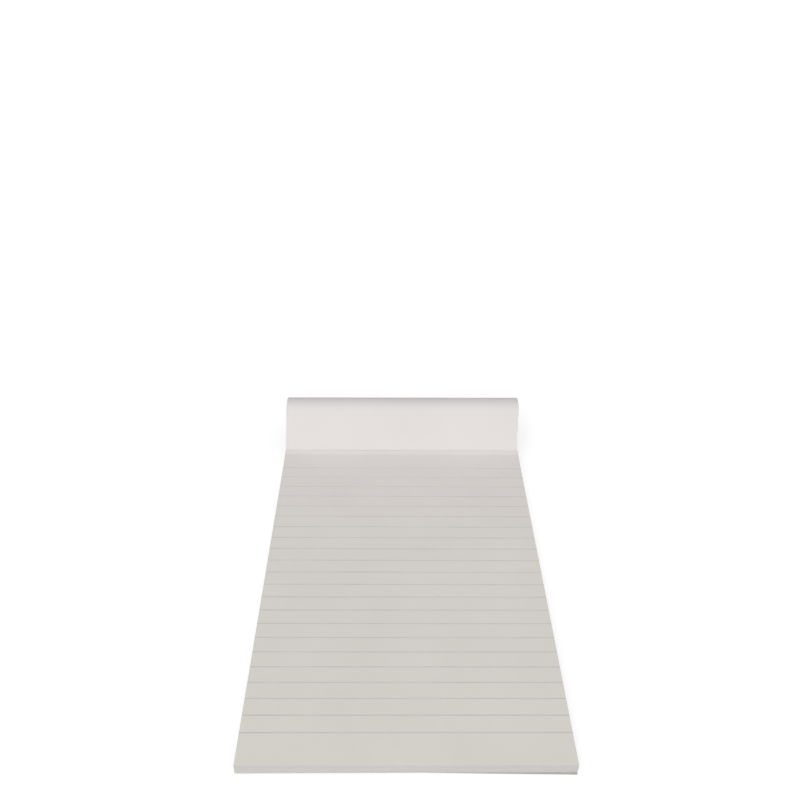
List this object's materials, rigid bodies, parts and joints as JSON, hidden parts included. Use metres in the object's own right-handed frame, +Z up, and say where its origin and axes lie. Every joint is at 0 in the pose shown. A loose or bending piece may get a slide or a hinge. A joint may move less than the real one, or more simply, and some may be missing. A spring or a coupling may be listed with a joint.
{
  "type": "ruled writing pad",
  "caption": "Open gum-bound pad of ruled white sheets on a stiff board, its thin cover folded up at the head, rolled over and tucked under the pad.",
  "frame": {"origin": "on the table under the centre of the open pad's bounding box", "axes": "+Z up from the table, +Y from the foot of the page to its head, +X to the reader's right"},
  "size_m": [0.148, 0.2414, 0.0311],
  "materials": {
    "board": "matte grey chipboard",
    "paper": "matte white writing paper",
    "line_ink": "matte grey printed line",
    "gum": "dried pale padding gum",
    "cover_card": "smooth white cover paper",
    "cover_ink": "satin deep blue print"
  },
  "bodies": {
    "root": {"back_board": "board", "ruled_sheets": "paper", "ruling": "line_ink", "head_glue": "gum", "front_cover": "cover_card", "cover_print": "cover_ink"}
  },
  "joints": []
}
